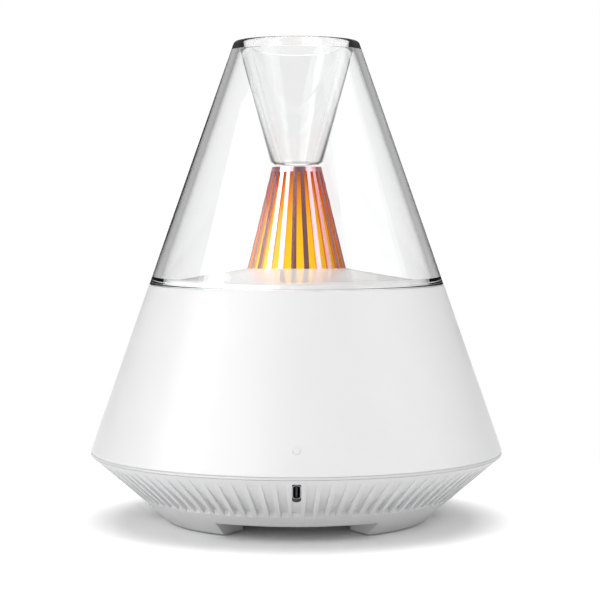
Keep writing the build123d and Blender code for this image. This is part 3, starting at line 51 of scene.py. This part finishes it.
# ---------------------------------------------------------------------------
# Materials
# ---------------------------------------------------------------------------
def new_material(name):
    mat = bpy.data.materials.new(name)
    mat.use_nodes = True
    tree = mat.node_tree
    return mat, tree, tree.nodes["Principled BSDF"]


def noise(tree, scale, detail=3.0, stretch=(1, 1, 1), seed=(0, 0, 0)):
    """Noise in the object's own coordinates, in metres."""
    coords = tree.nodes.new("ShaderNodeTexCoord")
    mapping = tree.nodes.new("ShaderNodeMapping")
    mapping.inputs["Scale"].default_value = stretch
    mapping.inputs["Location"].default_value = seed
    tex = tree.nodes.new("ShaderNodeTexNoise")
    tex.inputs["Scale"].default_value = scale
    tex.inputs["Detail"].default_value = detail
    tree.links.new(coords.outputs["Object"], mapping.inputs["Vector"])
    tree.links.new(mapping.outputs["Vector"], tex.inputs["Vector"])
    return tex.outputs["Fac"]


def ramp(tree, source, stops):
    node = tree.nodes.new("ShaderNodeValToRGB")
    elements = node.color_ramp.elements
    while len(elements) > 1:
        elements.remove(elements[-1])
    elements[0].position, elements[0].color = stops[0][0], (*stops[0][1], 1)
    for place, colour in stops[1:]:
        elements.new(place).color = (*colour, 1)
    tree.links.new(source, node.inputs["Fac"])
    return node.outputs["Color"]


def span(tree, source, low, high, start=0.3, end=0.7):
    node = tree.nodes.new("ShaderNodeMapRange")
    node.inputs["From Min"].default_value = start
    node.inputs["From Max"].default_value = end
    node.inputs["To Min"].default_value = low
    node.inputs["To Max"].default_value = high
    tree.links.new(source, node.inputs["Value"])
    return node.outputs["Result"]


def bump(tree, shader, source, strength, distance):
    node = tree.nodes.new("ShaderNodeBump")
    node.inputs["Strength"].default_value = strength
    node.inputs["Distance"].default_value = distance
    tree.links.new(source, node.inputs["Height"])
    tree.links.new(node.outputs["Normal"], shader.inputs["Normal"])


def moulded(name, colour, rough, vary=0.02, grain=2600, depth=0.00003, strength=0.25,
            metallic=0.0, stretch=(1, 1, 1)):
    """Moulded or plated stuff: faint drift of tone and gloss, and a fine grain in relief."""
    mat, tree, shader = new_material(name)
    drift = noise(tree, 34, 2)
    low = tuple(max(0, c - vary) for c in colour)
    high = tuple(min(1, c + vary) for c in colour)
    tree.links.new(ramp(tree, drift, [(0.3, low), (0.7, high)]), shader.inputs["Base Color"])
    patches = noise(tree, 120, 3, stretch, seed=(3, 1, 2))
    tree.links.new(span(tree, patches, max(0.01, rough - 0.05), rough + 0.05),
                   shader.inputs["Roughness"])
    shader.inputs["Metallic"].default_value = metallic
    bump(tree, shader, noise(tree, grain, 2, stretch), strength, depth)
    return mat


def clear_plastic(name):
    """Polished clear plastic, with the faint flow marks of moulding."""
    mat, tree, shader = new_material(name)
    drift = noise(tree, 22, 2)
    tree.links.new(ramp(tree, drift, [(0.3, (0.985, 0.99, 0.99)), (0.7, (1, 1, 1))]),
                   shader.inputs["Base Color"])
    tree.links.new(span(tree, noise(tree, 60), 0.0, 0.012), shader.inputs["Roughness"])
    shader.inputs["Transmission Weight"].default_value = 1.0
    shader.inputs["IOR"].default_value = 1.49
    bump(tree, shader, noise(tree, 14, 1, (1, 1, 0.35)), 0.03, 0.0008)
    return mat


AMBER_SHADE_FROM_X, AMBER_SHADE_TO_X = -0.014, 0.016     # X where the painted shade on the right side begins, and where it is deepest


def amber_painted_glow(name, low_z, high_z):
    """Amber plastic with a painted glow standing in for the LEDs inside: yellow low down, orange above,
    dim at the top, and painted shade making it darker towards the right.
    """
    mat, tree, shader = new_material(name)
    coords = tree.nodes.new("ShaderNodeTexCoord")
    axes = tree.nodes.new("ShaderNodeSeparateXYZ")
    tree.links.new(coords.outputs["Object"], axes.inputs["Vector"])
    height = span(tree, axes.outputs["Z"], 0, 1, low_z, high_z)
    # painted glow in place of the LEDs' light: yellow near them at the bottom, fading to dark orange at
    # the top
    painted_glow = ramp(tree, height, [(0.0, (1.0, 0.66, 0.0)), (0.45, (1.0, 0.54, 0.0)),
                               (0.8, (0.85, 0.26, 0.0)), (1.0, (0.45, 0.10, 0.0))])
    # painted shade: the glow dims towards the right, on the side away from the key lamps
    painted_side_shade = ramp(tree, span(tree, axes.outputs["X"], 0, 1, AMBER_SHADE_FROM_X, AMBER_SHADE_TO_X),
                [(0.0, (1, 1, 1)), (0.6, (0.95, 0.88, 0.8)), (1.0, (0.42, 0.30, 0.26))])
    mix = tree.nodes.new("ShaderNodeMix")
    mix.data_type = "RGBA"
    mix.blend_type = "MULTIPLY"
    mix.inputs["Factor"].default_value = 1.0
    tree.links.new(painted_glow, mix.inputs["A"])
    tree.links.new(painted_side_shade, mix.inputs["B"])
    tree.links.new(mix.outputs["Result"], shader.inputs["Emission Color"])
    shader.inputs["Specular IOR Level"].default_value = 0.1
    tree.links.new(ramp(tree, height, [(0.0, (0.30, 0.14, 0.0)), (1.0, (0.12, 0.03, 0.0))]),
                   shader.inputs["Base Color"])
    tree.links.new(span(tree, noise(tree, 150), 0.2, 0.32), shader.inputs["Roughness"])
    shader.inputs["Emission Strength"].default_value = 0.95
    bump(tree, shader, noise(tree, 900, 2), 0.15, 0.00005)
    return mat


amber_low, amber_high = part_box("amber_cone")
looks = {
    "white_shell": moulded("white_shell", (0.86, 0.86, 0.865), 0.36, 0.008),
    "grey_base": moulded("grey_base", (0.74, 0.74, 0.745), 0.48, 0.012, 2000, 0.00004, 0.35),
    "deck_white": moulded("deck_white", (0.88, 0.88, 0.88), 0.12, 0.006, 1500, 0.00002, 0.1),
    "clear_plastic": clear_plastic("clear_plastic"),
    "diffuser_white": moulded("diffuser_white", (0.84, 0.84, 0.845), 0.42, 0.008),
    "rose_gold": moulded("rose_gold", (0.85, 0.42, 0.46), 0.20, 0.03, 1800, 0.00002, 0.2,
                         1.0, (1, 1, 0.12)),
    "amber": amber_painted_glow("amber", amber_low.z, amber_high.z),
    "tank_plastic": moulded("tank_plastic", (0.82, 0.83, 0.84), 0.3, 0.015),
    "black_plastic": moulded("black_plastic", (0.02, 0.02, 0.021), 0.35, 0.006),
    "rubber_grey": moulded("rubber_grey", (0.055, 0.055, 0.06), 0.75, 0.012, 1600, 0.00006, 0.5),
    "silicone": moulded("silicone", (0.75, 0.76, 0.78), 0.5, 0.02),
    "board_green": moulded("board_green", (0.015, 0.13, 0.045), 0.3, 0.012, 900, 0.00003, 0.2),
    "chip_black": moulded("chip_black", (0.02, 0.02, 0.025), 0.5, 0.008),
    "steel": moulded("steel", (0.58, 0.58, 0.6), 0.3, 0.03, 1500, 0.00002, 0.3, 1.0, (1, 1, 0.2)),
    "nickel": moulded("nickel", (0.66, 0.66, 0.68), 0.2, 0.03, 1500, 0.00002, 0.2, 1.0),
    "bronze": moulded("bronze", (0.66, 0.42, 0.2), 0.32, 0.04, 1400, 0.00003, 0.3, 1.0),
    "gold_contact": moulded("gold_contact", (0.85, 0.62, 0.25), 0.18, 0.03, 1500, 0.00002, 0.2, 1.0),
    "copper": moulded("copper", (0.72, 0.32, 0.16), 0.3, 0.05, 2600, 0.00008, 0.6, 1.0, (1, 1, 4)),
    "led_yellow": moulded("led_yellow", (0.95, 0.76, 0.28), 0.25, 0.03),
}
slot_of = {part["node"]: part["material_slot"] for part in frame["record"]["subparts"]}
for name, obj in nodes.items():
    obj.data.materials.clear()
    obj.data.materials.append(looks[slot_of[name]])


# ---------------------------------------------------------------------------
# Turned pieces
# ---------------------------------------------------------------------------
ARC_STEPS = 8
TURN_STEPS = 288
SHARP_FROM = 32             # degrees between two faces


def rounded(corners):
    """Outline of (radius, height, corner radius) with each corner turned into an arc."""
    out = []
    count = len(corners)
    for i, (r, z, radius) in enumerate(corners):
        here = Vector((r, z))
        before = (Vector(corners[i - 1][:2]) - here).normalized()
        after = (Vector(corners[(i + 1) % count][:2]) - here).normalized()
        half = before.angle(after) / 2
        centre = here + (before + after).normalized() * (radius / math.sin(half))
        reach = radius / math.tan(half)
        first = here + before * reach - centre
        turn = first.angle_signed(here + after * reach - centre)
        for step in range(ARC_STEPS + 1):
            out.append(centre + Matrix.Rotation(-turn * step / ARC_STEPS, 2) @ first)
    return out


def lathe(name, outline):
    """Closed outline turned round Z, smooth but for its sharp corners."""
    bm = bmesh.new()
    rings = []
    for k in range(TURN_STEPS):
        angle = 2 * math.pi * k / TURN_STEPS
        rings.append([bm.verts.new((p.x * math.cos(angle), p.x * math.sin(angle), p.y))
                      for p in outline])
    for k in range(TURN_STEPS):
        ring, following = rings[k], rings[(k + 1) % TURN_STEPS]
        for i in range(len(outline)):
            j = (i + 1) % len(outline)
            bm.faces.new((ring[i], following[i], following[j], ring[j]))
    bmesh.ops.recalc_face_normals(bm, faces=bm.faces)
    for face in bm.faces:
        face.smooth = True
    for edge in bm.edges:
        edge.smooth = edge.calc_face_angle(0) < math.radians(SHARP_FROM)
    mesh = bpy.data.meshes.new(name)
    bm.to_mesh(mesh)
    bm.free()
    obj = bpy.data.objects.new(name, mesh)
    bpy.context.scene.collection.objects.link(obj)
    return obj


# Clear cover, in millimetres: a cone whose top turns in and runs down as a funnel
MM = 0.001
SLOPE = 0.353               # radius lost per millimetre of height
WALL = 3.2
BAND_HEIGHT = 2.6           # straight band inside the foot
APEX_DEPTH = 4.0            # from the top down to the space between wall and funnel
APEX_HALF_WIDTH = 0.3
MOUTH_RADIUS = 18.7
THROAT = 137.4              # lower end of the funnel
THROAT_INNER = 5.6
THROAT_OUTER = 9.7
cover_low, cover_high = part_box("clear_cover")
foot, head = cover_low.z / MM, cover_high.z / MM
foot_radius = cover_high.x / MM
band_top = foot + BAND_HEIGHT
apex = head - APEX_DEPTH


def cover_radius(z):
    """Outer radius of the cover at a height."""
    return foot_radius - SLOPE * (z - foot)


band_radius = cover_radius(band_top) - WALL
apex_radius = cover_radius(apex) - WALL
cover_outline = rounded([   # radius, height, corner radius
    (foot_radius, foot, 0.4),
    (cover_radius(head), head, 1.9),
    (MOUTH_RADIUS, head, 1.0),
    (THROAT_INNER, THROAT, 0.3),
    (THROAT_OUTER, THROAT, 2.0),
    (apex_radius - APEX_HALF_WIDTH, apex, 0.25),
    (apex_radius + APEX_HALF_WIDTH, apex, 0.25),
    (band_radius, band_top, 0.5),
    (band_radius, foot, 0.3),
])
cover = lathe("cover_clear", [p * MM for p in cover_outline])
cover.data.materials.append(looks["clear_plastic"])
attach(cover, "cover")
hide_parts("clear_cover")


# ---------------------------------------------------------------------------
# Floor: lit white near the object, and plain bright white further out
# ---------------------------------------------------------------------------
FLOOR_SIZE = 30
FLOOR_SEEN = 1.15           # tone when the floor is looked at
FLOOR_BOUNCE = 0.95         # tone when it lights the object
FLOOR_NEAR = 0.11           # metres from the middle where the blend begins
FLOOR_FAR = 0.22            # and where it ends

bpy.ops.mesh.primitive_plane_add(size=FLOOR_SIZE, location=(0, 0, 0))
floor = bpy.context.object
floor.name = "floor"
floor_mat = bpy.data.materials.new("floor_white")
floor_mat.use_nodes = True
floor_tree = floor_mat.node_tree
floor_tree.nodes.remove(floor_tree.nodes["Principled BSDF"])
floor_near = floor_tree.nodes.new("ShaderNodeBsdfDiffuse")
floor_far = floor_tree.nodes.new("ShaderNodeEmission")
floor_far.inputs["Color"].default_value = (1, 1, 1, 1)
floor_rays = floor_tree.nodes.new("ShaderNodeLightPath")
floor_tone = ramp(floor_tree, floor_rays.outputs["Is Diffuse Ray"],
                  [(0.0, (FLOOR_SEEN,) * 3), (1.0, (FLOOR_BOUNCE,) * 3)])
floor_tree.links.new(floor_tone, floor_near.inputs["Color"])
floor_place = floor_tree.nodes.new("ShaderNodeTexCoord")
floor_reach = floor_tree.nodes.new("ShaderNodeVectorMath")
floor_reach.operation = "LENGTH"
floor_tree.links.new(floor_place.outputs["Object"], floor_reach.inputs[0])
floor_blend = span(floor_tree, floor_reach.outputs["Value"], 0, 1, FLOOR_NEAR, FLOOR_FAR)
floor_mix = floor_tree.nodes.new("ShaderNodeMixShader")
floor_tree.links.new(floor_blend, floor_mix.inputs["Fac"])
floor_tree.links.new(floor_near.outputs["BSDF"], floor_mix.inputs[1])
floor_tree.links.new(floor_far.outputs["Emission"], floor_mix.inputs[2])
floor_tree.links.new(floor_mix.outputs["Shader"], floor_tree.nodes["Material Output"].inputs["Surface"])
floor.data.materials.append(floor_mat)


# ---------------------------------------------------------------------------
# Lamps
# ---------------------------------------------------------------------------
AIM = (0, 0, 0.09)          # the point every lamp faces
# name, azimuth, height, distance, width, tall, power, lights matt faces, shows in reflections
LAMPS = (
    ("key_wide", -50, 0.45, 1.2, 1.6, 1.1, 11.5, False, True),
    ("key_core", -70, 0.40, 1.2, 0.4, 1.1, 3.4, False, True),
    ("key_soft", -60, 0.45, 1.2, 0.9, 1.1, 3.9, True, False),
    ("fill_gloss", 74, 0.45, 1.2, 1.15, 1.1, 3.8, False, True),
    ("fill_soft", 62, 0.65, 1.2, 0.5, 1.1, 2.3, True, False),
    ("top_soft", 180, 1.3, 0.1, 1.4, 1.4, 15, True, False),
    ("front_low", -22, 0.05, 0.9, 0.8, 0.1, 0.7, True, False),
)


def math_node(tree, operation, *values):
    node = tree.nodes.new("ShaderNodeMath")
    node.operation = operation
    for value, socket in zip(values, node.inputs):
        if isinstance(value, (int, float)):
            socket.default_value = value
        else:
            tree.links.new(value, socket)
    return node.outputs["Value"]


def softbox(name, azimuth, height, distance, width, tall, power, diffuse, gloss):
    """Rectangular light. Azimuth 0 is in front and 90 is at the right; it faces the object."""
    data = bpy.data.lights.new(name, "AREA")
    data.shape = "RECTANGLE"
    data.size, data.size_y = width, tall
    data.energy = power
    lamp = bpy.data.objects.new(name, data)
    bpy.context.scene.collection.objects.link(lamp)
    angle = math.radians(azimuth)
    lamp.location = (distance * math.sin(angle), -distance * math.cos(angle), height)
    lamp.rotation_euler = (Vector(AIM) - lamp.location).to_track_quat("-Z", "Y").to_euler()
    lamp.visible_diffuse = diffuse
    lamp.visible_glossy = gloss
    lamp.visible_camera = False
    lamp.visible_transmission = True
    data.use_nodes = True
    tree = data.node_tree
    rays = tree.nodes.new("ShaderNodeLightPath").outputs
    # seen straight through the cover, a lamp is as bright as the white behind it
    bounces = math_node(tree, "ADD", rays["Glossy Depth"], rays["Diffuse Depth"])
    straight = math_node(tree, "LESS_THAN", bounces, 0.5)
    through = math_node(tree, "MULTIPLY", straight, rays["Is Transmission Ray"])
    strength = span(tree, through, 1, math.pi * width * tall / power, 0, 1)
    tree.links.new(strength, tree.nodes["Emission"].inputs["Strength"])


for lamp in LAMPS:
    softbox(*lamp)

# ---------------------------------------------------------------------------
# World: a white surround for what is looked at, with darker tones for light
# that has been mirrored, so that the cover's edges show against the white
# ---------------------------------------------------------------------------
WORLD_SEEN = 1.0
WORLD_HIGH = 0.6            # high up, seen through the cover
WORLD_LIGHT = 0.35          # on matt faces outside the cover
WORLD_INSIDE = 1.0          # on matt faces inside the cover
WORLD_GLOSS = 0.04          # mirrored by outer faces
WORLD_WALL = 0.85           # mirrored once inside the cover's wall or the funnel's
WALL_HIGH = 0.3             # high up both are one tone, this far from the first to the second
WORLD_FRONT = 0.16          # mirrored from the front by what stands inside the cover
WORLD_BACK = 0.36           # and from behind
HIGH_START, HIGH_END = 0.15, 0.35       # Z of the direction, which is a unit vector
FRONT_END, BACK_START = -0.2, 0.5       # and its Y
MANY = 100                  # more bounces than a path takes

world = bpy.data.worlds.new("studio")
bpy.context.scene.world = world
world.use_nodes = True
world_tree = world.node_tree
world_rays = world_tree.nodes.new("ShaderNodeLightPath").outputs
world_place = world_tree.nodes.new("ShaderNodeTexCoord")
world_axes = world_tree.nodes.new("ShaderNodeSeparateXYZ")
world_tree.links.new(world_place.outputs["Generated"], world_axes.inputs["Vector"])


def depth_is(kind, low, high):
    """1 where the path's count of this kind is from low to high."""
    middle, reach = (low + high) / 2, (high - low) / 2 + 0.1
    return math_node(world_tree, "COMPARE", world_rays[kind], middle, reach)


def world_mix(factor, first, second):
    node = world_tree.nodes.new("ShaderNodeMix")
    world_tree.links.new(factor, node.inputs["Factor"])
    for value, socket in ((first, node.inputs["A"]), (second, node.inputs["B"])):
        if isinstance(value, float):
            socket.default_value = value
        else:
            world_tree.links.new(value, socket)
    return node.outputs["Result"]


# Faces crossed before the world is reached: 2 or 3 by way of the cover's wall,
# 5 or more by way of the funnel's, and 4 from what stands inside and back
level = span(world_tree, world_axes.outputs["Z"], 1, 0, HIGH_START, HIGH_END)
in_wall = world_mix(depth_is("Transmission Depth", 5, MANY),
                    depth_is("Transmission Depth", 2, 3), 1.0)
in_wall = world_mix(depth_is("Glossy Depth", 1, 1), 0.0, in_wall)
in_wall = world_mix(level, WALL_HIGH, in_wall)
glossy_tone = world_mix(in_wall, WORLD_GLOSS, WORLD_WALL)
inside_tone = span(world_tree, world_axes.outputs["Y"], WORLD_FRONT, WORLD_BACK,
                   FRONT_END, BACK_START)
glossy_tone = world_mix(depth_is("Transmission Depth", 4, 4), glossy_tone, inside_tone)
diffuse_tone = world_mix(world_rays["Is Transmission Ray"], WORLD_LIGHT, WORLD_INSIDE)
clear_tone = world_mix(level, WORLD_HIGH, WORLD_SEEN)
clear_tone = world_mix(world_rays["Is Camera Ray"], clear_tone, WORLD_SEEN)
world_tone = world_mix(depth_is("Glossy Depth", 1, MANY), clear_tone, glossy_tone)
world_tone = world_mix(depth_is("Diffuse Depth", 1, MANY), world_tone, diffuse_tone)
background = world_tree.nodes["Background"]
background.inputs["Color"].default_value = (1, 1, 1, 1)
world_tree.links.new(world_tone, background.inputs["Strength"])

# ---------------------------------------------------------------------------
# Camera
# ---------------------------------------------------------------------------
CAMERA_PLACE = (0, -0.7374, 0.122)
CAMERA_DOWN = 0.0502        # radians below level
CAMERA_TURN = -0.00183

scene = bpy.context.scene
scene.view_settings.view_transform = "Standard"
scene.view_settings.look = "None"

camera_data = bpy.data.cameras.new("camera")
camera_data.sensor_width = 36
camera_data.lens = 114
camera_data.clip_start = 0.01
camera = bpy.data.objects.new("camera", camera_data)
camera.location = CAMERA_PLACE
camera.rotation_euler = Euler((math.pi / 2 - CAMERA_DOWN, 0, CAMERA_TURN))
scene.collection.objects.link(camera)
scene.camera = camera
